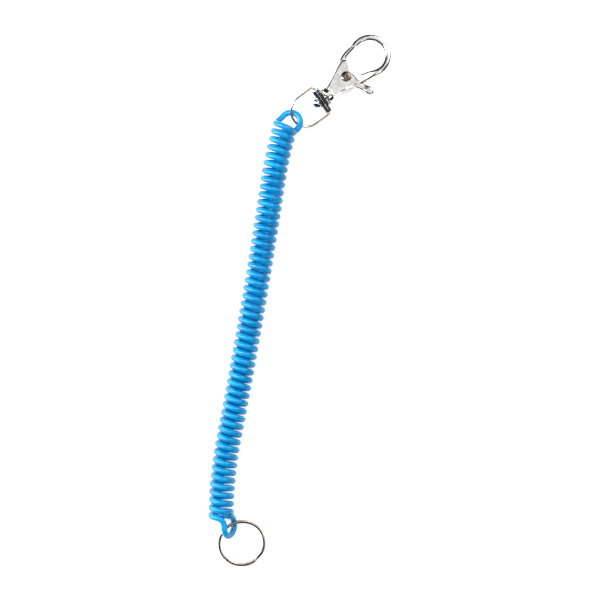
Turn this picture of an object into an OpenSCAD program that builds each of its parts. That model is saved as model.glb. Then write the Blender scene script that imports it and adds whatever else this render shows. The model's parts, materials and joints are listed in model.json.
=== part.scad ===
// Coiled key cord: a spiral of plastic cord with an end loop at each end,
// a swivel trigger clasp on a wire bail at one end and a split ring at the other.
// Millimetres. It lies on z = 0. The cord's axis runs roughly along +Y.

/* [Coiled cord] */
// Diameter of the plastic cord
cord_d = 2.6; // [2.2:0.1:2.8]
// Outer diameter of the coil
coil_od = 11; // [10.6:0.2:11.4]
// Distance from one turn to the next
coil_pitch = 3.3; // [3.2:0.1:3.6]
// Number of turns
coil_turns = 50.5; // [48:0.5:53]
// Radius of the end loops, at the middle of the cord
loop_r = 4.2; // [4.1:0.1:4.4]

/* [Trigger clasp] */
// Radius of the claw, at the middle of its bar
claw_r = 7.65; // [7.5:0.05:7.8]
// Diameter of the claw's bar
claw_bar_d = 3.2; // [3.0:0.1:3.2]
// Thickness of the body, across the lever's slot
body_t = 5.4; // [5.2:0.1:5.6]
// Thickness of the lever
lever_t = 2.8; // [2.6:0.1:2.8]
// Diameter of the rivet that the lever turns on
pivot_d = 2.0; // [1.8:0.1:2.0]
// Radius of the round foot, next to the swivel
foot_r = 4.1; // [3.9:0.1:4.1]

/* [Swivel and bail] */
// Diameter of the bail's wire
wire_d = 1.0; // [0.9:0.1:1.0]
// Width of the bail, between the middles of its two sides
bail_w = 14.27; // [14.1:0.01:14.4]
// Reach of the bail, from its pins to the middle of its far end
bail_reach = 14.4; // [14.2:0.1:14.6]
// Diameter of the swivel barrel
barrel_d = 3.7; // [3.6:0.1:3.8]
// Length of the swivel barrel
barrel_l = 12.4; // [12:0.1:12.6]
// Diameter of the swivel rivet's shank
stud_d = 2.2; // [2.0:0.1:2.2]

/* [Split ring] */
// Outer diameter of the split ring
ring_od = 20; // [19.6:0.1:20.2]
// Width of the ring's wire, along a radius
ring_wire_w = 1.1; // [1.0:0.1:1.2]
// Thickness of one turn of the ring's wire
ring_wire_t = 1.0; // [0.9:0.1:1.0]

/* [Hidden] */
$fn = 72;

plastic_blue = [0.0, 0.55, 0.87];
nickel = [0.80, 0.80, 0.78];
steel = [0.62, 0.60, 0.58];

slip = 0.06;   // radial clearance of a running fit
far = 60;      // longer than any cut

// ---- the coil's own curve ----
coil_r = coil_od / 2;
coil_l = coil_turns * coil_pitch + cord_d;
// Each stretch of the coil's axis: its length, and how far it leans to the right
lower_bend = [35, 11];
middle_bend = [108.5, -2.5];
upper_bend = [coil_l - lower_bend[0] - middle_bend[0], 8.5];
bends = [lower_bend, middle_bend, upper_bend];
end_bore_r = coil_r - cord_d;
// The bore that leaves as much plastic as the wound cord holds
turn_l = sqrt(pow(PI * (coil_od - cord_d), 2) + pow(coil_pitch, 2));
wound_area = PI * pow(cord_d / 2, 2) * turn_l / coil_pitch;
long_bore_r = sqrt(pow(coil_r, 2) - wound_area / PI);
// Where bend i starts: how far along the axis, its lean, and its place in plan
function from(i) = i == 0 ? 0 : from(i - 1) + bends[i - 1][0];
function lean(i) = i == 0 ? 0 : lean(i - 1) + bends[i - 1][1];
function bend_r(i) = bends[i][0] / (bends[i][1] * PI / 180);
function bend_start(i) = i == 0 ? [0, 0] : axis_point(i - 1, bends[i - 1][0]);
// A point of the axis, and its lean, a distance along bend i
function axis_lean(i, along) = lean(i) + bends[i][1] * along / bends[i][0];
function axis_point(i, along) = bend_start(i)
    + bend_r(i) * [cos(lean(i)) - cos(axis_lean(i, along)), sin(axis_lean(i, along)) - sin(lean(i))];
function bend_at(s) = s <= from(1) ? 0 : s <= from(2) ? 1 : 2;
top_end = bend_start(2) + bend_r(2) * [cos(lean(2)) - cos(lean(3)), sin(lean(3)) - sin(lean(2))];
top_lean = lean(3);
coil_sides = 24;
// Stations along the tube: distance, and the bore's radius. The last turn at each end is closed up
bore_step = 0.4;
closed_turn = [[0, end_bore_r], [cord_d, end_bore_r], [cord_d + bore_step, long_bore_r]];
stations = concat(
    closed_turn,
    [for (i = [0:2]) let (steps = ceil(bends[i][0] / 9)) for (k = [1:steps]) let (s = from(i) + bends[i][0] * k / steps)
        if (s > cord_d + 3 && s < coil_l - cord_d - 3) [s, long_bore_r]],
    [for (k = [2:-1:0]) [coil_l - closed_turn[k][0], closed_turn[k][1]]]
);

// ---- the loops ----
// Middle of each loop, from the middle of the coil's end: to the side, outwards, and height
top_loop_at = [1.6, 1.0, 4.2];
top_loop_roll = 12;
bottom_loop_at = [3.45, 2.5, 5.4];
bottom_loop_roll = 63;
loop_gap = 0.05;   // between the lower loop and the coil's flat end

// ---- the clasp ----
// Barrel's middle, from the middle of the coil's lower end
barrel_at = [42.3, 176.6, 4.5];
clasp_heading = -51.25;   // from +Y, in plan
clasp_pitch = -4.5;       // the claw dips to the table
bail_roll = 28;           // the bail and barrel turned on the swivel
bail_fold = 5.1;          // the bail folded up on the barrel, which lays it level
claw_at = [-2.05, 28];
claw_inner_r = claw_r - claw_bar_d / 2;
claw_outer_r = claw_r + claw_bar_d / 2;
throat_at = [-2.6, 21.9];
throat_r = 4.6;
pivot_at = [-1.1, 14];
gate_joint_at = [-9.65, 24.3];   // where the gate meets the claw's tip
gate_joint_facing = 143;         // the way that the gate's end face looks
joint_gap = 0.08;
slot_t = lever_t + 0.2;
foot_y = [2.0, 4.6];
rivet_head_r = 2.2;
rivet_head_h = 0.4;
spring_pocket_d = 1.6;
hub_r = 3.0;
bail_half = bail_w / 2;
pin_l = 3.2;      // how far a bail pin reaches in from the bail's side
pin_bore_l = 2.9;

// ---- the split ring ----
ring_at = [8.7, -10];
ring_tilt = 12;
ring_toward = [-4.95, 7.4];      // from the ring's middle to the loop it hangs in
ring_r = ring_od / 2;
ring_stack = 2 * ring_wire_t + 0.1;
ring_h = (ring_r - ring_wire_w / 2) * sin(ring_tilt)
    + ring_stack / 2 * cos(ring_tilt) + ring_wire_w / 2 * sin(ring_tilt);
split_a = 26;     // angle that the crossover takes

// ---- the outline, which the origin is the middle of ----
claw_reach = claw_at[1] * cos(clasp_pitch);
claw_mid = [barrel_at[0] + claw_at[0] * cos(clasp_heading) - claw_reach * sin(clasp_heading),
            barrel_at[1] + claw_at[0] * sin(clasp_heading) + claw_reach * cos(clasp_heading)];
outline_mid = [(claw_mid[0] + claw_outer_r - coil_r) / 2, (claw_mid[1] + claw_outer_r + ring_at[1] - ring_r) / 2];

// ======== places ========
module in_object() { translate([-outline_mid[0], -outline_mid[1], 0]) children(); }
module at_top_end() {
    in_object() translate([top_end[0], top_end[1], 0]) rotate([0, 0, -top_lean]) children();
}
module at_clasp() {
    in_object() translate(barrel_at) rotate([0, 0, clasp_heading]) rotate([clasp_pitch, 0, 0]) children();
}
module at_barrel() { at_clasp() rotate([0, bail_roll, 0]) children(); }
module at_bail() { at_barrel() rotate([bail_fold, 0, 0]) children(); }
module at_ring() {
    in_object() translate([ring_at[0], ring_at[1], ring_h])
        rotate([0, 0, atan2(ring_toward[1], ring_toward[0])]) rotate([0, -ring_tilt, 0]) children();
}

// ======== the cord ========
// A ring of points round the axis, a distance along it
function ring_points(s, r) = let (i = bend_at(s), at = axis_point(i, s - from(i)), l = axis_lean(i, s - from(i)))
    [for (k = [0:coil_sides - 1]) let (a = 360 * k / coil_sides)
        [at[0] + r * cos(a) * cos(l), at[1] - r * cos(a) * sin(l), coil_r + r * sin(a)]];

// One fat tube with a bore, swept along the axis
module coil() {
    n = len(stations);
    // Outer rings come first, then the rings of the bore
    points = concat([for (t = stations) each ring_points(t[0], coil_r)],
                    [for (t = stations) each ring_points(t[0], t[1])]);
    function at(wall, i, k) = (wall * n + i) * coil_sides + k % coil_sides;
    function quad(a, b, c, d) = [[a, b, c], [a, c, d]];
    faces = [
        for (i = [0:n - 2], k = [0:coil_sides - 1]) each concat(
            quad(at(0, i, k), at(0, i + 1, k), at(0, i + 1, k + 1), at(0, i, k + 1)),
            quad(at(1, i, k), at(1, i, k + 1), at(1, i + 1, k + 1), at(1, i + 1, k))),
        for (k = [0:coil_sides - 1]) each concat(
            quad(at(0, 0, k), at(0, 0, k + 1), at(1, 0, k + 1), at(1, 0, k)),
            quad(at(0, n - 1, k), at(1, n - 1, k), at(1, n - 1, k + 1), at(0, n - 1, k + 1)))
    ];
    color(plastic_blue) in_object() polyhedron(points, faces);
}

module cord_loop(roll) {
    rotate([0, roll, 0]) rotate_extrude() translate([loop_r, 0]) circle(d = cord_d);
}

module top_loop() {
    color(plastic_blue) at_top_end() difference() {
        translate(top_loop_at) cord_loop(-top_loop_roll);
        translate([-far / 2, -far, -far / 2]) cube(far);
    }
}

module bottom_loop() {
    color(plastic_blue) in_object() difference() {
        translate([bottom_loop_at[0], -bottom_loop_at[1], bottom_loop_at[2]]) cord_loop(bottom_loop_roll);
        translate([-far / 2, -loop_gap, -far / 2]) cube(far);
    }
}

// ======== bail and swivel ========
module wire_bail() {
    bow_y = bail_half - bail_reach;
    color(steel) at_bail() {
        translate([0, bow_y, 0]) rotate([0, 0, 180]) rotate_extrude(angle = 180)
            translate([bail_half, 0]) circle(d = wire_d);
        for (side = [-1, 1]) {
            translate([side * bail_half, bow_y, 0]) rotate([-90, 0, 0]) cylinder(d = wire_d, h = -bow_y);
            translate([side * bail_half, 0, 0]) sphere(d = wire_d);
            translate([side * bail_half, 0, 0]) rotate([0, -side * 90, 0]) cylinder(d = wire_d, h = pin_l);
        }
    }
}

module swivel_barrel() {
    edge = 0.7;
    color(nickel) at_barrel() difference() {
        rotate([0, 90, 0]) rotate_extrude() union() {
            translate([0, -barrel_l / 2]) square([barrel_d / 2 - edge, barrel_l]);
            translate([0, -barrel_l / 2 + edge]) square([barrel_d / 2, barrel_l - 2 * edge]);
            for (end = [-1, 1]) intersection() {
                translate([barrel_d / 2 - edge, end * (barrel_l / 2 - edge)]) circle(r = edge);
                translate([0, -barrel_l / 2]) square([barrel_d / 2, barrel_l]);
            }
        }
        rotate([90, 0, 0]) cylinder(d = stud_d + 2 * slip, h = barrel_d + 1, center = true);
        for (side = [-1, 1]) translate([side * (barrel_l / 2 - pin_bore_l), 0, 0]) rotate([0, side * 90, 0])
            cylinder(d = wire_d + 2 * slip, h = pin_bore_l + 1);
    }
}

module swivel_rivet() {
    head_top = -barrel_d / 2 - 0.1;
    head_r = 2.7;
    head_h = 2.6;
    dome_r = (head_r * head_r + head_h * head_h) / (2 * head_h);
    color(nickel) at_clasp() {
        translate([0, head_top - 0.3, 0]) rotate([-90, 0, 0]) cylinder(d = stud_d, h = foot_y[1] + 2 - head_top);
        // The peened head: a spherical cap with its flat side to the barrel
        difference() {
            translate([0, head_top - head_h + dome_r, 0]) sphere(r = dome_r);
            translate([-far / 2, head_top, -far / 2]) cube(far);
        }
    }
}

// ======== clasp body ========
module claw_bar() {
    first = -27;
    last = 212;
    translate(claw_at) rotate([0, 0, first]) rotate_extrude(angle = last - first)
        translate([claw_r, 0]) circle(d = claw_bar_d);
}

// Everything on the gate's side of the joint between the gate and the claw's tip
module gate_side(gap) {
    translate(gate_joint_at) rotate([0, 0, gate_joint_facing])
        translate([-20 - gap, -far / 2, -far / 2]) cube([20, far, far]);
}

// Plan of the body, without the claw: neck, two cheeks and the shoulder of the claw
module body_plan() {
    shoulder = [[2.7, 4.2], [3.1, 8.5], [3.9, 12], [4.6, 15], [5.2, 17], [5.8, 19], [6.2, 21], [6.45, 24.1]];
    inside = [[3.43, 25.3], [-6.2, 19.4], [-8.4, 17.0], [-3.5, 5.6], [-2.9, 4.2]];
    difference() {
        polygon(concat(shoulder, inside));
        translate(claw_at) circle(r = claw_inner_r);
        translate(throat_at) circle(r = throat_r);
        polygon([throat_at, throat_at + [throat_r * cos(6), throat_r * sin(6)],
                 claw_at + [claw_inner_r * cos(26), -claw_inner_r * sin(26)], claw_at]);
    }
}

module clasp_body() {
    slot_y = [8.8, 19.4];
    foot_edge = 0.6;
    color(nickel) at_clasp() difference() {
        union() {
            difference() {
                claw_bar();
                intersection() {
                    gate_side(0);
                    translate([-20, 0, -far / 2]) cube([15, 30, far]);
                }
            }
            linear_extrude(height = body_t, center = true) intersection() {
                body_plan();
                translate([-15, 0]) square([30, 21]);
            }
            linear_extrude(height = claw_bar_d, center = true) body_plan();
            translate([0, foot_y[0], 0]) rotate([-90, 0, 0]) rotate_extrude() union() {
                square([foot_r - foot_edge, foot_y[1] - foot_y[0]]);
                translate([0, foot_edge]) square([foot_r, foot_y[1] - foot_y[0] - 2 * foot_edge]);
                for (y = [foot_edge, foot_y[1] - foot_y[0] - foot_edge])
                    translate([foot_r - foot_edge, y]) circle(r = foot_edge);
            }
        }
        translate([-20, slot_y[0], -slot_t / 2]) cube([40, slot_y[1] - slot_y[0], slot_t]);
        translate(pivot_at) cylinder(d = pivot_d, h = far, center = true);
        rotate([-90, 0, 0]) cylinder(d = stud_d, h = foot_y[1] + 2 - 0.3);
    }
}

module gate_rivet() {
    dome_r = (rivet_head_r * rivet_head_r + rivet_head_h * rivet_head_h) / (2 * rivet_head_h);
    color(steel) at_clasp() translate(pivot_at) {
        cylinder(d = pivot_d, h = body_t, center = true);
        for (face = [0, 1]) mirror([0, 0, face]) intersection() {
            translate([0, 0, body_t / 2 + rivet_head_h - dome_r]) sphere(r = dome_r);
            translate([0, 0, body_t / 2]) cylinder(r = rivet_head_r + 1, h = 2);
        }
    }
}

// Three close turns of spring wire round the rivet
module gate_spring() {
    spring_wire = 0.5;
    turns = 3;
    color(steel) at_clasp() translate([pivot_at[0], pivot_at[1], lever_t / 2 - spring_pocket_d + 0.05])
        rotate_extrude() for (i = [0:turns - 1])
            translate([pivot_d / 2 + 0.5, spring_wire / 2 + i * (spring_wire - 0.03)]) circle(d = spring_wire);
}

// ======== gate lever ========
module lever_plan() {
    arm = [[-1.1, 17], [-6.6, 18.4], [-7.5, 20.5], [-8.0, 25], [-11.2, 27], [-10.9, 24.4],
           [-10.2, 20.4], [-9.2, 17.3], [-7.9, 15.6], [-3.0, 11.7]];
    tail = [[-1.1, 17], [4.0, 17.2], [7.4, 18.9], [8.2, 16.1], [4.6, 14.2], [-0.6, 11.1]];
    translate(pivot_at) circle(r = hub_r);
    polygon(arm);
    polygon(tail);
}

module gate_lever() {
    pad_t = 3.4;
    color(nickel) at_clasp() difference() {
        union() {
            intersection() {
                linear_extrude(height = lever_t, center = true) lever_plan();
                gate_side(joint_gap);
            }
            for (at = [[8.7, 17.9], [10.0, 18.4]]) translate(at) cylinder(r = 1.9, h = pad_t, center = true);
            translate([9.35, 18.15, 0]) rotate([0, 0, 21]) cube([1.4, 3.8, pad_t], center = true);
        }
        translate(pivot_at) cylinder(d = pivot_d + 2 * slip, h = far, center = true);
        translate([pivot_at[0], pivot_at[1], lever_t / 2 - spring_pocket_d]) cylinder(r = 2.0, h = far);
    }
}

// ======== split ring ========
module ring_turn(first, angle) {
    rotate([0, 0, first]) rotate_extrude(angle = angle) translate([ring_r - ring_wire_w, 0]) union() {
        translate([0.2, 0]) square([ring_wire_w - 0.4, ring_wire_t]);
        translate([0, 0.2]) square([ring_wire_w, ring_wire_t - 0.4]);
        for (x = [0.2, ring_wire_w - 0.2], y = [0.2, ring_wire_t - 0.2]) translate([x, y]) circle(r = 0.2);
    }
}

module split_ring() {
    rise = ring_wire_t + 0.1;
    cross_at = 200;   // place of the crossover, round from the loop
    run = ring_r * split_a * PI / 180;
    color(steel) at_ring() translate([0, 0, -ring_stack / 2]) {
        ring_turn(cross_at + split_a / 2, 360 - split_a / 2);
        translate([0, 0, rise]) ring_turn(cross_at, 360 - split_a / 2);
        // The sloping stretch that joins the two turns
        rotate([0, 0, cross_at]) translate([ring_r - ring_wire_w / 2, 0, rise / 2 + ring_wire_t / 2])
            rotate([atan(rise / run * 2), 0, 0]) cube([ring_wire_w * 0.8, run / 2, ring_wire_t * 0.8], center = true);
    }
}

coil();
top_loop();
bottom_loop();
wire_bail();
swivel_barrel();
swivel_rivet();
clasp_body();
gate_rivet();
gate_spring();
gate_lever();
split_ring();
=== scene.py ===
"""Coiled plastic key cord with a swivel trigger clasp and a split ring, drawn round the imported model.

Every length is in metres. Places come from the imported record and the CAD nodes' boxes.
"""
import json
import math

import bpy
import numpy as np
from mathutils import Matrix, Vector


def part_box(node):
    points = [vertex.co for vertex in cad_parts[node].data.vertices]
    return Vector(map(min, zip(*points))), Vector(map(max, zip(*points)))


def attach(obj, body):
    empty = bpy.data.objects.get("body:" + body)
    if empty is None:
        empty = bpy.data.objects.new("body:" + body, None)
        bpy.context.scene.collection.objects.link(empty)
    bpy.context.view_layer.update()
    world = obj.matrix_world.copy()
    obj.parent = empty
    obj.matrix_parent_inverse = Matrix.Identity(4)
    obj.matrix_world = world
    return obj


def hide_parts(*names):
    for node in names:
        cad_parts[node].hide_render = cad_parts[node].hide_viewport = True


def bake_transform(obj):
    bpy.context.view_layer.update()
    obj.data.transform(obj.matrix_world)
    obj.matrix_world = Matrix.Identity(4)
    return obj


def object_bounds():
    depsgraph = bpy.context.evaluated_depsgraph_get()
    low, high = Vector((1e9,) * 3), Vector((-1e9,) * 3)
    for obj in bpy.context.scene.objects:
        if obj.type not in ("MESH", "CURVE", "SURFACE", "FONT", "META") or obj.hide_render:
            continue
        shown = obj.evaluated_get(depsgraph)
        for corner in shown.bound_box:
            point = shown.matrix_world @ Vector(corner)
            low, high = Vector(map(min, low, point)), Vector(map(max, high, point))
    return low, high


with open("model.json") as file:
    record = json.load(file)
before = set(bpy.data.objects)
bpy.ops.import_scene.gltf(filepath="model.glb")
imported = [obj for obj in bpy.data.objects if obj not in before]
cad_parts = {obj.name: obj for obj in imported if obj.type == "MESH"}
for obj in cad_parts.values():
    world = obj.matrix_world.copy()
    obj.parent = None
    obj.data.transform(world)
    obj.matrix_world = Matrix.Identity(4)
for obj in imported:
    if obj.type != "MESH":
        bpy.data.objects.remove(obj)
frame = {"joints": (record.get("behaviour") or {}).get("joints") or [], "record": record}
cad_low, cad_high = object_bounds()

MM = 0.001
TAU = 2 * math.pi

# ======== sizes that repeat the design's own ========
CORD_R = 1.3 * MM
COIL_R = 5.5 * MM
COIL_PITCH = 3.3 * MM
COIL_TURNS = 50.5
LOOP_R = 4.2 * MM
COIL_LENGTH = COIL_TURNS * COIL_PITCH + 2 * CORD_R
# Each bend of the coil's axis: its length, and how far it leans to the right
BENDS = [(35 * MM, 11), (108.5 * MM, -2.5), (COIL_LENGTH - 143.5 * MM, 8.5)]
TOP_LOOP_AT = np.array([1.6, 1.0, 4.2]) * MM
TOP_LOOP_ROLL = -12
LOW_LOOP_AT = np.array([3.45, -2.5, 5.4]) * MM
LOW_LOOP_ROLL = 63

WIRE_R = 0.5 * MM
BAIL_HALF = 7.135 * MM
BAIL_REACH = 14.4 * MM
BARREL_R = 1.85 * MM
BARREL_HALF = 6.2 * MM
SHANK_R = 1.1 * MM
SHANK_END = 6.3 * MM
BODY_HALF_T = 2.7 * MM
PIVOT_R = 1.0 * MM
# The spring's pocket in the lever: its floor, from which it runs out through one face
POCKET_R = 2.0 * MM
POCKET_FLOOR = -0.2 * MM
# Clearance round a pin or a shank in its bore
FIT = 0.06 * MM
RING_MID_R = 9.45 * MM
RING_WIRE_W = 1.1 * MM
RING_WIRE_T = 1.0 * MM


# ======== places, from the record ========
joints = {j["name"]: j for j in frame["joints"]}


def unit(v):
    """A vector divided by its length."""
    v = np.asarray(v, float)
    return v / np.linalg.norm(v)


def joint_at(name):
    """The point of a joint's axis, in the row frame."""
    return np.array(joints[name]["pos_m"])


def joint_axis(name):
    """The direction of a joint's axis, in the row frame."""
    return unit(joints[name]["axis"])


class Place:
    """An origin and three unit axes. A local point p lands at origin + p.x X + p.y Y + p.z Z."""

    def __init__(self, origin, x, y):
        self.origin = np.asarray(origin, float)
        self.axes = np.stack([x, y, np.cross(x, y)])

    def out(self, points):
        """Local points, put into the row frame."""
        return self.origin + np.asarray(points) @ self.axes

    def back(self, points):
        """Row-frame points, in this place's own axes."""
        return (np.asarray(points) - self.origin) @ self.axes.T


barrel_mid = joint_at("swivel_fold")
spin = joint_axis("swivel_spin")
clasp_place = Place(barrel_mid, np.cross(spin, -joint_axis("gate_pivot")), spin)
barrel_place = Place(barrel_mid, joint_axis("swivel_fold"), spin)
bail_y = unit(barrel_mid - joint_at("bail_swing"))
bail_place = Place(barrel_mid, joint_axis("bail_swing"), bail_y)

mounts = {m["name"]: m for m in frame["record"]["mounts"]}
ring_mid = np.array(mounts["split_ring_eye"]["pos_m"])
ring_x = unit(joint_at("split_ring_swing") - ring_mid)
ring_place = Place(ring_mid, ring_x, joint_axis("split_ring_swing"))
pivot_place = Place(joint_at("gate_pivot"), clasp_place.axes[0], clasp_place.axes[1])

coil_low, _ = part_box("coil")
coil_foot = np.array([coil_low.x + COIL_R, coil_low.y, coil_low.z + COIL_R])


# ======== the camera, straight above ========
def make_camera():
    """A long lens straight above the middle of the cord, with +Y up the picture."""
    data = bpy.data.cameras.new("camera")
    data.lens = 100
    data.sensor_width = 36
    camera = bpy.data.objects.new("camera", data)
    bpy.context.scene.collection.objects.link(camera)
    margin = 1.13
    frame_height = margin * (cad_high.y - cad_low.y)
    above = frame_height / 2 / (data.sensor_width / 2 / data.lens)
    middle = (cad_low + cad_high) / 2
    camera.location = (middle.x, middle.y, above)
    data.clip_start = 0.01
    data.clip_end = 20
    bpy.context.scene.camera = camera


make_camera()


# ======== mesh making ========
def new_piece(name, points, faces, material):
    """A smooth-shaded mesh object with its place in its points."""
    mesh = bpy.data.meshes.new(name)
    mesh.from_pydata(np.asarray(points, float).tolist(), [], [list(f) for f in faces])
    mesh.polygons.foreach_set("use_smooth", np.ones(len(mesh.polygons), bool))
    mesh.materials.append(material)
    mesh.validate()
    mesh.update()
    piece = bpy.data.objects.new(name, mesh)
    bpy.context.scene.collection.objects.link(piece)
    return piece


def loft(rings):
    """Points and faces of a closed skin over a stack of rings.

    rings[i, k] is point k of ring i. Quads join ring i to ring i + 1, and a fan of triangles to the
    ring's mean point closes each end.
    """
    count, sides = rings.shape[:2]
    i = np.arange(count - 1)[:, None] * sides
    k = np.arange(sides)[None, :]
    after = (k + 1) % sides
    quads = np.stack([i + k, i + after, i + sides + after, i + sides + k], -1).reshape(-1, 4)
    points = np.vstack([rings.reshape(-1, 3), rings[0].mean(0), rings[-1].mean(0)])
    first_pole = count * sides
    last = (count - 1) * sides
    first_fan = np.stack([np.full(sides, first_pole), after[0], k[0]], -1)
    last_fan = np.stack([np.full(sides, first_pole + 1), last + k[0], last + after[0]], -1)
    return points, quads.tolist() + first_fan.tolist() + last_fan.tolist()


def directions(path):
    """Unit tangents of a path: the difference of each point's two neighbours."""
    step = np.gradient(path, axis=0)
    return step / np.linalg.norm(step, axis=1)[:, None]


def carried_frames(path, first_side):
    """Tangent and two sides at each point, carried along the path with no twist.

    Each step reflects the side vector in the plane half way between two points, and again in the plane
    half way between the two tangents.
    """
    t = directions(path)
    side = np.empty_like(path)
    side[0] = unit(first_side - (first_side @ t[0]) * t[0])
    for i in range(len(path) - 1):
        v = path[i + 1] - path[i]
        r = side[i] - 2 * (v @ side[i]) / (v @ v) * v
        tr = t[i] - 2 * (v @ t[i]) / (v @ v) * v
        w = t[i + 1] - tr
        if w @ w > 1e-16:
            r = r - 2 * (w @ r) / (w @ w) * w
        side[i + 1] = unit(r - (r @ t[i + 1]) * t[i + 1])
    return t, side, np.cross(t, side)


def round_ends(path, radius, steps=4):
    """A path with a half-round cap at each end, and the radius at each of its points.

    A cap's ring at angle a stands radius sin(a) past the end, with radius radius cos(a).
    """
    t = directions(path)
    a = np.linspace(0, 0.46 * math.pi, steps + 1)[1:]
    head = path[0] - t[0] * (radius * np.sin(a))[::-1, None]
    tail = path[-1] + t[-1] * (radius * np.sin(a))[:, None]
    whole = np.vstack([head, path, tail])
    radii = np.concatenate([radius * np.cos(a)[::-1], np.full(len(path), radius), radius * np.cos(a)])
    return whole, radii


def tube_rings(path, radii, sides, first_side):
    """Rings of a round tube: path + radius (cos a side + sin a other side), a going once round."""
    _, side, other = carried_frames(path, np.asarray(first_side, float))
    a = np.arange(sides) * TAU / sides
    spread = np.cos(a)[None, :, None] * side[:, None, :] + np.sin(a)[None, :, None] * other[:, None, :]
    return path[:, None, :] + np.asarray(radii)[:, None, None] * spread


def turned(profile, place, along, sides=64):
    """A turned part: the profile's (radius, height) points carried once round an axis of a place.

    along picks the axis, 0, 1 or 2. A point lands at height along it and radius (cos a, sin a) across it.
    """
    radius, height = np.asarray(profile, float).T
    a = np.arange(sides) * TAU / sides
    across = [(along + 1) % 3, (along + 2) % 3]
    local = np.zeros((len(radius), sides, 3))
    local[..., along] = height[:, None]
    local[..., across[0]] = radius[:, None] * np.cos(a)
    local[..., across[1]] = radius[:, None] * np.sin(a)
    return loft(place.out(local.reshape(-1, 3)).reshape(local.shape))


def arc(centre, radius, first, last, steps=8):
    """Points of an arc in a plane: centre + radius (cos a, sin a), from first to last degrees."""
    a = np.radians(np.linspace(first, last, steps + 1))
    return np.stack([centre[0] + radius * np.cos(a), centre[1] + radius * np.sin(a)], -1)


def smooth_through(points, between=6):
    """A smooth curve through all the points.

    Each stretch takes the Catmull-Rom weights of four neighbouring points; the two end points count twice.
    """
    p = np.asarray(points, float)
    p = np.vstack([p[:1], p, p[-1:]])
    u = (np.arange(between) / between)[None, :, None]
    a, b, c, d = (p[i:len(p) - 3 + i, None, :] for i in range(4))
    curve = b + 0.5 * u * (c - a + u * (2 * a - 5 * b + 4 * c - d + u * (3 * (b - c) + d - a)))
    return np.vstack([curve.reshape(-1, p.shape[1]), p[-2]])


def plate_rings(near, far, half_t, edge_r, place, steps=14):
    """Rings of a plate that lies between two edges, both sides of a place's own z = 0.

    At share v from the near edge to the far one, v = (1 - cos a) / 2, the plate's half thickness is
    t sqrt(1 - (1 - d / r)^2) where the nearer edge is closer than r, and t further in: a round bar where r
    is half of the width, and a flat plate with round edges where it is less.
    """
    v = (1 - np.cos(np.linspace(0, math.pi, steps + 1))) / 2
    width = np.linalg.norm(far - near, axis=1)[:, None]
    round_r = np.minimum(edge_r[:, None], width / 2)
    inwards = np.minimum(width * np.minimum(v, 1 - v) / round_r, 1)
    height = half_t[:, None] * np.sqrt(1 - (1 - inwards) ** 2)
    across = near[:, None, :] + (far - near)[:, None, :] * v[None, :, None]
    upper = np.concatenate([across, height[..., None]], -1)
    lower = (upper * [1, 1, -1])[:, ::-1][:, 1:-1]
    local = np.concatenate([upper, lower], 1)
    return place.out(local.reshape(-1, 3)).reshape(local.shape)


# ======== shader groups ========
def new_group(name, inputs, outputs):
    """An empty shader node group with float inputs {name: default} and outputs {name: socket type}."""
    group = bpy.data.node_groups.new(name, "ShaderNodeTree")
    for label, value in inputs.items():
        socket = group.interface.new_socket(name=label, in_out="INPUT", socket_type="NodeSocketFloat")
        socket.default_value = value
    for label, kind in outputs.items():
        group.interface.new_socket(name=label, in_out="OUTPUT", socket_type=kind)
    return group, group.nodes.new("NodeGroupInput"), group.nodes.new("NodeGroupOutput")


def noise(tree, scale, detail, roughness=0.5):
    """A noise texture on the piece's own place in the row frame."""
    where = tree.nodes.new("ShaderNodeTexCoord")
    node = tree.nodes.new("ShaderNodeTexNoise")
    node.inputs["Scale"].default_value = scale
    node.inputs["Detail"].default_value = detail
    node.inputs["Roughness"].default_value = roughness
    tree.links.new(where.outputs["Object"], node.inputs["Vector"])
    return node


def remap(tree, source, low, high, to_low, to_high):
    """source taken from low..high to to_low..to_high, held at both ends."""
    node = tree.nodes.new("ShaderNodeMapRange")
    for label, value in (("From Min", low), ("From Max", high), ("To Min", to_low), ("To Max", to_high)):
        if isinstance(value, bpy.types.NodeSocket):
            tree.links.new(value, node.inputs[label])
        else:
            node.inputs[label].default_value = value
    tree.links.new(source, node.inputs["Value"])
    return node.outputs["Result"]


def combine(tree, operation, a, b):
    """One Math node on two sockets or numbers."""
    node = tree.nodes.new("ShaderNodeMath")
    node.operation = operation
    for i, value in enumerate((a, b)):
        if isinstance(value, bpy.types.NodeSocket):
            tree.links.new(value, node.inputs[i])
        else:
            node.inputs[i].default_value = value
    return node.outputs["Value"]


def blend_colours(tree, share, first, second):
    """first where share is 0 and second where it is 1."""
    node = tree.nodes.new("ShaderNodeMix")
    node.data_type = "RGBA"
    tree.links.new(share, node.inputs["Factor"])
    for socket, value in zip((node.inputs[6], node.inputs[7]), (first, second)):
        if isinstance(value, bpy.types.NodeSocket):
            tree.links.new(value, socket)
        else:
            socket.default_value = (*value, 1)
    return node.outputs[2]


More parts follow.
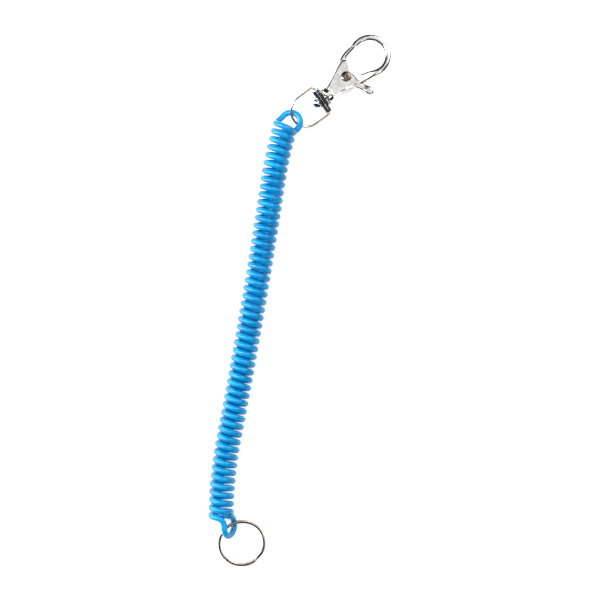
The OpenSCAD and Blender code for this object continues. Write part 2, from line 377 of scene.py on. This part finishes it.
def handling_group():
    """Marks of handling: smudges, fine hairline scratches, and dull specks in the plating."""
    group, given, result = new_group(
        "Marks of handling",
        {"Smudge Scale": 300, "Scratch Scale": 900},
        {"Smudge": "NodeSocketFloat", "Scratches": "NodeSocketFloat", "Specks": "NodeSocketFloat"},
    )
    smudge = noise(group, 300, 4, 0.6)
    group.links.new(given.outputs["Smudge Scale"], smudge.inputs["Scale"])
    group.links.new(remap(group, smudge.outputs["Fac"], 0.35, 0.7, 0, 1), result.inputs["Smudge"])

    where = group.nodes.new("ShaderNodeTexCoord")
    layers = []
    for turn in (0.5, 2.1):
        stretch = group.nodes.new("ShaderNodeMapping")
        stretch.inputs["Rotation"].default_value = (0.3, 0.2, turn)
        stretch.inputs["Scale"].default_value = (1, 0.06, 1)
        hair = group.nodes.new("ShaderNodeTexNoise")
        hair.inputs["Detail"].default_value = 2
        group.links.new(where.outputs["Object"], stretch.inputs["Vector"])
        group.links.new(stretch.outputs["Vector"], hair.inputs["Vector"])
        group.links.new(given.outputs["Scratch Scale"], hair.inputs["Scale"])
        layers.append(remap(group, hair.outputs["Fac"], 0.6, 0.72, 0, 1))
    group.links.new(combine(group, "MAXIMUM", *layers), result.inputs["Scratches"])

    specks = noise(group, 2600, 1)
    group.links.new(remap(group, specks.outputs["Fac"], 0.66, 0.72, 0, 1), result.inputs["Specks"])
    return group


handling = handling_group()


def use_group(tree, group, **values):
    """A group placed in a material, with its own values; spaces stand as underscores in the names."""
    node = tree.nodes.new("ShaderNodeGroup")
    node.node_tree = group
    for label, value in values.items():
        node.inputs[label.replace("_", " ")].default_value = value
    return node


def new_material(name):
    """A material with one Principled shader, its tree and that shader."""
    material = bpy.data.materials.new(name)
    material.use_nodes = True
    return material, material.node_tree, material.node_tree.nodes["Principled BSDF"]


def bump(tree, shader, height, depth, strength):
    """A Bump node from a height that runs 0 to 1 into the shader's normal."""
    node = tree.nodes.new("ShaderNodeBump")
    node.inputs["Distance"].default_value = depth
    node.inputs["Strength"].default_value = strength
    tree.links.new(height, node.inputs["Height"])
    tree.links.new(node.outputs["Normal"], shader.inputs["Normal"])


def plated_metal(name, bright, dull, smooth, rough, scratch_depth):
    """Plate or bare metal: bright where clean, duller under smudges and specks, with fine hairlines."""
    material, tree, shader = new_material(name)
    marks = use_group(tree, handling, Smudge_Scale=260, Scratch_Scale=1100)
    worn = combine(tree, "MAXIMUM", marks.outputs["Smudge"], marks.outputs["Specks"])
    tree.links.new(blend_colours(tree, worn, bright, dull), shader.inputs["Base Color"])
    scuffed = combine(tree, "MAXIMUM", worn, marks.outputs["Scratches"])
    tree.links.new(remap(tree, scuffed, 0, 1, smooth, rough), shader.inputs["Roughness"])
    shader.inputs["Metallic"].default_value = 1
    bump(tree, shader, marks.outputs["Scratches"], -scratch_depth, 0.5)
    return material


def tinted_plastic(name, deep, light):
    """Soft clear plastic, tinted through: two close tints in slow patches, with a slightly uneven gloss."""
    material, tree, shader = new_material(name)
    patches = remap(tree, noise(tree, 140, 3).outputs["Fac"], 0.35, 0.65, 0, 1)
    marks = use_group(tree, handling, Smudge_Scale=180, Scratch_Scale=700)
    tree.links.new(blend_colours(tree, patches, deep, light), shader.inputs["Base Color"])
    tree.links.new(remap(tree, marks.outputs["Smudge"], 0, 1, 0.16, 0.3), shader.inputs["Roughness"])
    shader.inputs["IOR"].default_value = 1.45
    shader.inputs["Specular IOR Level"].default_value = 0.3
    shader.inputs["Transmission Weight"].default_value = 0.35
    shader.inputs["Coat Weight"].default_value = 0.15
    shader.inputs["Coat Roughness"].default_value = 0.1
    drawn = noise(tree, 1500, 2)
    bump(tree, shader, drawn.outputs["Fac"], 0.02 * MM, 0.4)
    return material


nickel = plated_metal(
    "bright nickel plate", bright=(0.80, 0.79, 0.77), dull=(0.55, 0.54, 0.52),
    smooth=0.07, rough=0.24, scratch_depth=0.01 * MM)
wire_nickel = plated_metal(
    "plated wire", bright=(0.56, 0.49, 0.44), dull=(0.34, 0.29, 0.25),
    smooth=0.10, rough=0.30, scratch_depth=0.015 * MM)
# The gate rivet is coloured dark all over
rivet_steel = plated_metal(
    "dark rivet steel", bright=(0.17, 0.14, 0.12), dull=(0.08, 0.07, 0.06),
    smooth=0.14, rough=0.36, scratch_depth=0.015 * MM)
spring_steel = plated_metal(
    "drawn spring steel", bright=(0.42, 0.41, 0.40), dull=(0.22, 0.21, 0.20),
    smooth=0.22, rough=0.40, scratch_depth=0.02 * MM)
cord_plastic = tinted_plastic("clear blue plastic", deep=(0.0, 0.27, 0.60), light=(0.0, 0.36, 0.74))


# ======== the cord ========
def coil_axis(s):
    """Place and lean of the coil's axis at distances s from its lower end.

    Each bend is an arc: from where it starts, radius (cos of first lean - cos of lean, sin of lean - sin of
    first lean), with the lean growing evenly along it.
    """
    place = np.zeros((len(s), 2))
    lean = np.zeros(len(s))
    start, first, done = np.zeros(2), 0.0, 0.0
    for length, turn in BENDS:
        radius = length / math.radians(turn)
        here = s >= done
        now = first + np.radians(turn) * np.minimum(s[here] - done, length) / length
        lean[here] = now
        swept = np.stack([math.cos(first) - np.cos(now), np.sin(now) - math.sin(first)], -1)
        place[here] = start + radius * swept
        last = first + math.radians(turn)
        whole = np.array([math.cos(first) - math.cos(last), math.sin(last) - math.sin(first)])
        start = start + radius * whole
        first, done = last, done + length
    return place, lean


def curve_between(p0, t0, p1, t1, pull, steps):
    """A cubic curve from p0 to p1 with end tangents t0 and t1, its two ends left out.

    Bernstein weights of p0, p0 + pull t0, p1 - pull t1 and p1.
    """
    u = np.linspace(0, 1, steps + 2)[1:-1, None]
    a, b = p0 + pull * t0, p1 - pull * t1
    return (1 - u) ** 3 * p0 + 3 * u * (1 - u) ** 2 * a + 3 * u * u * (1 - u) * b + u ** 3 * p1


def loop_arc(centre, roll, first, last, step=6):
    """Points of an end loop: centre + radius (cos a e1 + sin a e2).

    e1 is +X rolled about +Y, e2 is +Y, and a runs from first to last degrees, either way round.
    """
    way = np.sign(last - first)
    a = np.radians(np.arange(first, last + 0.1 * way, step * way))
    r = math.radians(roll)
    e1 = np.array([math.cos(r), 0, -math.sin(r)])
    return centre + LOOP_R * (np.cos(a)[:, None] * e1 + np.sin(a)[:, None] * np.array([0, 1, 0]))


def cord_route():
    """The cord's centreline from its fused lower end to its fused upper end, and its share of the stretch.

    The turns are a helix round the coil's axis: axis + radius (cos phase to the right, sin phase up). At each
    end the last turn leaves the helix on a smooth curve into the loop, whose end lies against a turn.
    """
    per_turn = 40
    low_phase, high_phase = math.radians(110), math.radians(170)
    wound = TAU * round(COIL_TURNS) + high_phase - low_phase
    phase = np.linspace(0, wound, int(wound / TAU * per_turn)) + low_phase
    s = np.linspace(CORD_R, COIL_LENGTH - CORD_R, len(phase))
    place, lean = coil_axis(s)
    reach = COIL_R - CORD_R
    right = np.stack([np.cos(lean), -np.sin(lean)], -1) * (reach * np.cos(phase))[:, None]
    helix = np.column_stack([place + right, reach * np.sin(phase)])

    # The loop's fused end lies across the coil's open end, just behind the strand that leaves it
    low_loop = loop_arc(LOW_LOOP_AT - [0, 0, COIL_R], LOW_LOOP_ROLL, first=446, last=172)
    fused_end = np.array([0.7, 1.9, 0.9]) * MM
    across = curve_between(fused_end, unit([1, 0, -0.3]), low_loop[0],
                           unit(low_loop[1] - low_loop[0]), pull=0.9 * MM, steps=5)
    low_loop = np.vstack([fused_end, across, low_loop])
    end_place, end_lean = coil_axis(np.array([COIL_LENGTH]))
    c, n = math.cos(end_lean[0]), math.sin(end_lean[0])
    turn = np.array([[c, -n, 0], [n, c, 0], [0, 0, 1]])
    top_loop = loop_arc(TOP_LOOP_AT - [0, 0, COIL_R], TOP_LOOP_ROLL, first=158, last=-38) @ turn
    top_loop = top_loop + np.array([*end_place[0], 0])

    into = curve_between(low_loop[-1], unit(low_loop[-1] - low_loop[-2]), helix[0],
                         unit(helix[1] - helix[0]), pull=1.7 * MM, steps=9)
    away = curve_between(helix[-1], unit(helix[-1] - helix[-2]), top_loop[0],
                         unit(top_loop[1] - top_loop[0]), pull=1.9 * MM, steps=9)
    route = np.vstack([low_loop, into, helix, away, top_loop])
    share = np.concatenate([
        np.ones(len(low_loop) + len(into)),
        np.linspace(1, 0, len(helix)),
        np.zeros(len(away) + len(top_loop)),
    ])
    return route + coil_foot, share


def make_cord():
    """One length of soft plastic cord, wound into the coil, with its two ends fused into loops."""
    route, share = cord_route()
    path, radii = round_ends(route, CORD_R)
    rings = tube_rings(path, radii, sides=18, first_side=(0, 1, 0))
    points, faces = loft(rings)
    cord = new_piece("spiral_cord", points, faces, cord_plastic)
    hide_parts("coil", "top_loop", "bottom_loop")
    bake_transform(cord)


make_cord()


# ======== cutting ========
# A drill from minus to plus this goes right through the clasp or its lever
THROUGH = 6 * MM


def modified(piece, kind, **settings):
    """The piece with one modifier applied to its mesh."""
    modifier = piece.modifiers.new(kind.lower(), kind)
    for label, value in settings.items():
        setattr(modifier, label, value)
    bpy.context.view_layer.update()
    mesh = bpy.data.meshes.new_from_object(piece.evaluated_get(bpy.context.evaluated_depsgraph_get()))
    piece.modifiers.clear()
    piece.data = mesh
    return piece


def cut(piece, *tools):
    """The piece with each tool's space taken out of it, the tools being used up."""
    for tool in tools:
        modified(piece, "BOOLEAN", object=tool, operation="DIFFERENCE", solver="EXACT")
        bpy.data.objects.remove(tool)
    # A cut leaves slivers where it runs close to a point; closing them keeps the mesh sound
    return modified(piece, "WELD", merge_threshold=0.001 * MM)


def drill(radius, first, last, place, along):
    """A closed round rod to cut a bore with, from height first to last along one axis of a place."""
    return new_piece("drill", *turned([(radius, first), (radius, last)], place, along), nickel)


# ======== the bail and the swivel ========
def line(first, last, step=0.25 * MM):
    """Points along a straight line, its last point left out."""
    first, last = np.asarray(first, float), np.asarray(last, float)
    count = max(2, int(np.linalg.norm(last - first) / step))
    return first + (last - first) * (np.arange(count) / count)[:, None]


def make_bail():
    """A D of round wire: two pins into the barrel, two straight sides and a half-round far end.

    The path is a line, a quarter arc, a line and half of the far end's arc, and the same mirrored in x.
    """
    corner, pin_length = 1.0 * MM, 3.0 * MM
    bow_y = BAIL_HALF - BAIL_REACH
    pin_tip = BAIL_HALF - pin_length
    inner = line((pin_tip, 0), (BAIL_HALF - corner, 0))
    bend = arc((BAIL_HALF - corner, -corner), corner, 90, 0)
    side = line((BAIL_HALF, -corner - 0.1 * MM), (BAIL_HALF, bow_y))
    bow = arc((0, bow_y), BAIL_HALF, 0, -90, 40)
    half = np.vstack([inner, bend, side, bow])
    flat = np.vstack([half, (half * [-1, 1])[::-1][1:]])
    path = bail_place.out(np.column_stack([flat, np.zeros(len(flat))]))
    path, radii = round_ends(path, WIRE_R)
    points, faces = loft(tube_rings(path, radii, sides=20, first_side=bail_place.axes[2]))
    bail = new_piece("bail_wire", points, faces, wire_nickel)
    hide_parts("wire_bail")
    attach(bail, "bail")


def make_barrel():
    """A turned barrel with rounded rims, bored at each end for the bail's pins and across for the stud."""
    bore_r, bore_end, rim = 0.56 * MM, 3.3 * MM, 0.6 * MM
    half = [(0.02 * MM, bore_end), (bore_r, bore_end), (bore_r, bore_end + 0.1 * MM)]
    half += [(bore_r, BARREL_HALF - 0.15 * MM), (bore_r + 0.04 * MM, BARREL_HALF - 0.04 * MM)]
    half += [(bore_r + 0.15 * MM, BARREL_HALF)]
    half += arc((BARREL_R - rim, BARREL_HALF - rim), rim, 90, 0).tolist()
    side = np.linspace(BARREL_HALF - rim - 0.2 * MM, 0.2 * MM, 16)
    half += np.column_stack([np.full(16, BARREL_R), side]).tolist()
    half = np.array(half)
    profile = np.vstack([half, (half * [1, -1])[::-1]])
    barrel = new_piece("swivel_tube", *turned(profile[::-1], barrel_place, 0), nickel)
    cut(barrel, drill(SHANK_R + FIT, -BARREL_R - 1 * MM, BARREL_R + 1 * MM, barrel_place, 1))
    barrel.data.set_sharp_from_angle(angle=math.radians(40))
    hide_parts("swivel_barrel")
    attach(barrel, "barrel")


def make_swivel_rivet():
    """The rivet that the clasp spins on: a domed head outside the barrel, a shank in the clasp's neck."""
    head_top, head_r, head_h = -1.95 * MM, 2.7 * MM, 2.6 * MM
    lip = 0.25 * MM
    dome = arc((0, head_top - lip), 1, -90, 0, 14) - np.array([0, head_top - lip])
    dome = dome * [head_r, head_h - lip] + [0, head_top - lip]
    under = [
        (head_r - 0.08 * MM, head_top - 0.02 * MM), (head_r - 0.3 * MM, head_top),
        (SHANK_R + 0.3 * MM, head_top),
    ]
    shank = [
        (SHANK_R, head_top + 0.25 * MM), (SHANK_R, 0),
        (SHANK_R, SHANK_END - 0.1 * MM), (0.05 * MM, SHANK_END),
    ]
    profile = np.vstack([dome[1:], under, shank])
    rivet = new_piece("swivel_stud", *turned(profile, clasp_place, 1), nickel)
    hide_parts("swivel_rivet")
    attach(rivet, "clasp")


make_bail()
make_barrel()
make_swivel_rivet()


# ======== the clasp ========
def claw_edge(radius, first, last):
    """One edge of the claw: an arc of that radius round the middle of the eye, in millimetres."""
    eye_middle = (-2.05, 28)
    return arc(eye_middle, radius, first, last, steps=22)


def casting_shells():
    """The claw, shoulder, cheeks and neck as one plate between its two edges, and the round foot."""
    shoulder_to_neck = [
        (3.0, 24.3), (2.35, 22.9), (1.95, 21.3), (1.15, 19.25), (-0.3, 17.9), (-2.2, 17.3), (-4.2, 17.6),
        (-5.75, 18.55), (-6.9, 18.75), (-8.1, 17.3), (-7.3, 14.6), (-5.4, 10.1), (-3.9, 6.5), (-3.0, 4.2),
    ]
    back_to_neck = [
        (6.45, 23.6), (6.35, 22.3), (6.15, 20.8), (5.85, 19.3), (5.45, 17.8), (5.0, 16.4), (4.6, 15.0),
        (4.35, 13.9), (4.15, 13.0), (3.95, 12.1), (3.6, 10.6), (3.2, 8.4), (2.85, 6.0), (2.7, 4.2),
    ]
    # The tip is cut aslant where the gate shuts against it, so the inner edge starts further round
    near = smooth_through(np.vstack([claw_edge(6.05, 193.6, -21), shoulder_to_neck])) * MM
    far = smooth_through(np.vstack([claw_edge(9.25, 208.5, -19), back_to_neck])) * MM
    # The claw is a round bar; below its root an S curve of height thickens it into the flat cheeks
    bar_half_t = 1.6 * MM
    root_y, swell_over = 26 * MM, 11 * MM
    climb = np.clip((root_y - (near[:, 1] + far[:, 1]) / 2) / swell_over, 0, 1)
    climb[: len(near) // 2] = 0
    climb = climb * climb * (3 - 2 * climb)
    half_t = bar_half_t + (BODY_HALF_T - bar_half_t) * climb
    edge_r = (1.6 - 0.5 * climb) * MM
    plate = loft(plate_rings(near, far, half_t, edge_r, clasp_place))

    foot_r, low_y, high_y, edge = 4.1 * MM, 2.0 * MM, 4.6 * MM, 0.6 * MM
    low_rim = arc((foot_r - edge, low_y + edge), edge, -90, 0)
    high_rim = arc((foot_r - edge, high_y - edge), edge, 0, 90)
    neck = [(3.0 * MM, high_y + 0.1 * MM), (2.6 * MM, high_y + 0.8 * MM), (2.3 * MM, high_y + 2 * MM)]
    foot = turned(np.vstack([[(0.1 * MM, low_y)], low_rim, high_rim, neck]), clasp_place, 1)
    return plate, foot


def slot_box():
    """A box that cuts the lever's slot between the cheeks, open at both edges of the clasp."""
    half = np.array([20, 5.3, 1.5]) * MM
    middle = np.array([0, 14.1, 0]) * MM
    corners = np.array([(x, y, z) for z in (-1, 1) for x, y in ((-1, -1), (1, -1), (1, 1), (-1, 1))])
    sides = [(0, 3, 2, 1), (4, 5, 6, 7), (0, 1, 5, 4), (1, 2, 6, 5), (2, 3, 7, 6), (3, 0, 4, 7)]
    return new_piece("slot_box", clasp_place.out(middle + corners * half), sides, nickel)


def make_casting():
    """The clasp's body: foot, neck, cheeks and claw as one casting, slotted for the lever and bored twice."""
    grain = 0.14 * MM
    plate, foot = casting_shells()
    points = np.vstack([plate[0], foot[0]])
    faces = plate[1] + [[i + len(plate[0]) for i in f] for f in foot[1]]
    body = new_piece("clasp_casting", points, faces, nickel)
    modified(body, "REMESH", mode="VOXEL", voxel_size=grain, use_smooth_shade=True)
    pin_bore = drill(PIVOT_R + FIT, -THROUGH, THROUGH, pivot_place, 2)
    stud_bore = drill(SHANK_R + FIT, 1 * MM, SHANK_END, clasp_place, 1)
    cut(body, slot_box(), pin_bore, stud_bore)
    modified(body, "REMESH", mode="VOXEL", voxel_size=grain, use_smooth_shade=True)
    modified(body, "SMOOTH", factor=0.5, iterations=5)
    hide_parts("clasp_body")
    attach(body, "clasp")


def make_lever():
    """The sprung gate: a round arm that shuts on the claw's tip, a flat hub in the slot, and a thumb tab."""
    outside = [
        (-10.2, 23.45), (-10.35, 22.0), (-9.95, 19.6), (-9.1, 17.3), (-7.4, 14.9), (-4.6, 12.4),
        (-1.1, 11.05), (2.0, 12.7), (4.6, 14.2), (7.3, 15.7), (9.1, 16.2), (10.6, 16.7), (11.5, 17.7),
        (11.8, 18.6),
    ]
    inside = [
        (-8.45, 25.6), (-7.95, 23.4), (-7.65, 21.0), (-6.9, 18.9), (-5.2, 17.4), (-3.1, 16.7),
        (-1.1, 16.95), (1.6, 16.9), (4.0, 17.4), (6.6, 18.75), (7.9, 19.75), (9.3, 20.25), (10.7, 19.95),
        (11.55, 19.2),
    ]
    half_t = [1.45, 1.45, 1.4, 1.38, 1.38, 1.38, 1.38, 1.38, 1.38, 1.4, 1.65, 1.7, 1.5, 0.8]
    edge_r = [1.4, 1.4, 1.3, 1.1, 0.6, 0.4, 0.4, 0.4, 0.6, 0.9, 1.0, 1.0, 0.9, 0.5]
    near, far = smooth_through(outside) * MM, smooth_through(inside) * MM
    sizes = smooth_through(np.column_stack([half_t, edge_r])) * MM
    rings = plate_rings(near, far, sizes[:, 0], sizes[:, 1], clasp_place)
    lever = new_piece("gate_arm", *loft(rings[::-1]), nickel)
    # The rivet's bore goes right through; the spring's pocket is open towards one cheek only
    pin_bore = drill(PIVOT_R + FIT, -THROUGH, THROUGH, pivot_place, 2)
    pocket = drill(POCKET_R, POCKET_FLOOR, THROUGH, pivot_place, 2)
    cut(lever, pin_bore, pocket)
    lever.data.set_sharp_from_angle(angle=math.radians(50))
    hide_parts("gate_lever")
    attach(lever, "gate")


def make_gate_rivet():
    """A rivet through both cheeks: a low dome with a shallow dimple on each side, and a straight shank."""
    head_r, head_h, dimple = 2.2 * MM, 0.4 * MM, 0.16 * MM
    share = np.linspace(0, 1, 22)[1:]
    height = head_h * (1 - share ** 2.4) - dimple * np.exp(-((share / 0.3) ** 2))
    dome = np.column_stack([head_r * share, BODY_HALF_T + height])
    shank = [(PIVOT_R + 0.1 * MM, BODY_HALF_T - 0.02 * MM), (PIVOT_R, BODY_HALF_T - 0.15 * MM)]
    half = np.vstack([dome, shank])
    profile = np.vstack([half, (half * [1, -1])[::-1]])
    rivet = new_piece("gate_pin", *turned(profile[::-1], pivot_place, 2), rivet_steel)
    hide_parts("gate_rivet")
    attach(rivet, "clasp")


def make_gate_spring():
    """A torsion spring round the gate's rivet, its height growing evenly with the angle.

    It is as high as the design's stack of rings. A turn rises by less than the wire's thickness, so
    neighbouring turns run into each other.
    """
    low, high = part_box("gate_spring")
    thick = 0.5 * MM
    ring_pitch = thick - 0.03 * MM
    turns = 3
    a = np.linspace(0, TAU * turns, 36 * turns + 1)
    rise = np.linspace(-1, 1, len(a)) * (turns - 1) / 2 * ring_pitch
    radius = PIVOT_R + 0.5 * MM
    local = np.column_stack([radius * np.cos(a), radius * np.sin(a), rise])
    middle = clasp_place.back(np.array((low + high) / 2))
    path = clasp_place.out(local + middle)
    path, radii = round_ends(path, thick / 2)
    points, faces = loft(tube_rings(path, radii, sides=12, first_side=clasp_place.axes[2]))
    spring = new_piece("gate_coil_spring", points, faces, spring_steel)
    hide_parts("gate_spring")
    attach(spring, "clasp")


make_casting()
make_lever()
make_gate_rivet()
make_gate_spring()


# ======== the split ring ========
def make_split_ring():
    """Two flat turns of wire in one piece: a turn below, a short slope across, and a turn above.

    The centreline runs round at one radius; its height is -h, then an S curve to +h across the slope.
    Its section is a box with rounded corners: (w |cos b| ^ p, t |sin b| ^ p) with the signs of cos and sin.
    """
    slope_mid, slope_half = math.radians(200), math.radians(13)
    tip_gap = math.radians(1.2)
    first = slope_mid + slope_half + tip_gap
    last = slope_mid + 2 * TAU - slope_half - tip_gap
    a = np.linspace(first, last, 300)
    middle = slope_mid + TAU
    u = np.clip((a - middle + slope_half) / (2 * slope_half), 0, 1)
    level = 0.55 * MM
    height = level * (2 * u * u * (3 - 2 * u) - 1)
    # The tips are ground off over their last half millimetre
    from_end = np.minimum(a - first, last - a) * RING_MID_R
    taper = 0.72 + 0.28 * np.sqrt(np.clip(from_end / (0.5 * MM), 0, 1))
    b = np.arange(24) * TAU / 24
    power = 0.45
    across = RING_WIRE_W / 2 * np.sign(np.cos(b)) * np.abs(np.cos(b)) ** power
    up = RING_WIRE_T / 2 * np.sign(np.sin(b)) * np.abs(np.sin(b)) ** power
    radius = RING_MID_R + across[None, :] * taper[:, None]
    local = np.stack([radius * np.cos(a)[:, None], radius * np.sin(a)[:, None],
                      height[:, None] + up[None, :] * taper[:, None]], -1)
    points, faces = loft(ring_place.out(local.reshape(-1, 3)).reshape(local.shape)[::-1])
    ring = new_piece("key_ring", points, faces, wire_nickel)
    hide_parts("split_ring")
    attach(ring, "key_ring")


make_split_ring()


# ======== floor and light ========
def make_floor():
    """A wide, pale, matt table top that the cord lies on, giving off a little light of its own."""
    material, tree, shader = new_material("pale table")
    paper = remap(tree, noise(tree, 40, 3).outputs["Fac"], 0.3, 0.7, 0, 1)
    shade = blend_colours(tree, paper, (0.86, 0.86, 0.86), (0.89, 0.89, 0.89))
    tree.links.new(shade, shader.inputs["Base Color"])
    shader.inputs["Roughness"].default_value = 0.8
    shader.inputs["Emission Color"].default_value = (1, 1, 1, 1)
    shader.inputs["Emission Strength"].default_value = 0.45
    half = 3.0
    low = cad_low.z
    corners = [(-half, -half, low), (half, -half, low), (half, half, low), (-half, half, low)]
    floor = new_piece("table_top", corners, [(0, 1, 2, 3)], material)


def soft_light(name, place, width, depth, power):
    """A soft light, width by depth, that faces the middle of the table, its depth lying along Y."""
    data = bpy.data.lights.new(name, "AREA")
    data.shape = "RECTANGLE"
    data.size = width
    data.size_y = depth
    data.energy = power
    light = bpy.data.objects.new(name, data)
    bpy.context.scene.collection.objects.link(light)
    light.location = place
    light.rotation_euler = (-Vector(place)).to_track_quat("-Z", "Y").to_euler()


def make_light():
    """A dim card overhead, a strip at the left, soft lights at the upper and lower right, a dark room."""
    soft_light("overhead", (0.05, 0.05, 1.6), 1.2, 1.2, 4.6)
    soft_light("lower_right", (0.75, -0.6, 1.2), 0.5, 0.5, 2.5)
    soft_light("left_strip", (-0.75, 0.12, 0.5), 0.2, 1.5, 23)
    soft_light("upper_right", (0.85, 0.75, 1.1), 1.0, 1.0, 14)
    world = bpy.data.worlds.new("room")
    world.use_nodes = True
    back = world.node_tree.nodes["Background"]
    back.inputs["Color"].default_value = (0.75, 0.8, 0.85, 1)
    back.inputs["Strength"].default_value = 0.04
    bpy.context.scene.world = world


make_floor()
make_light()
# The plain view transform, under which the plastic keeps its full blue
bpy.context.scene.view_settings.view_transform = "Standard"
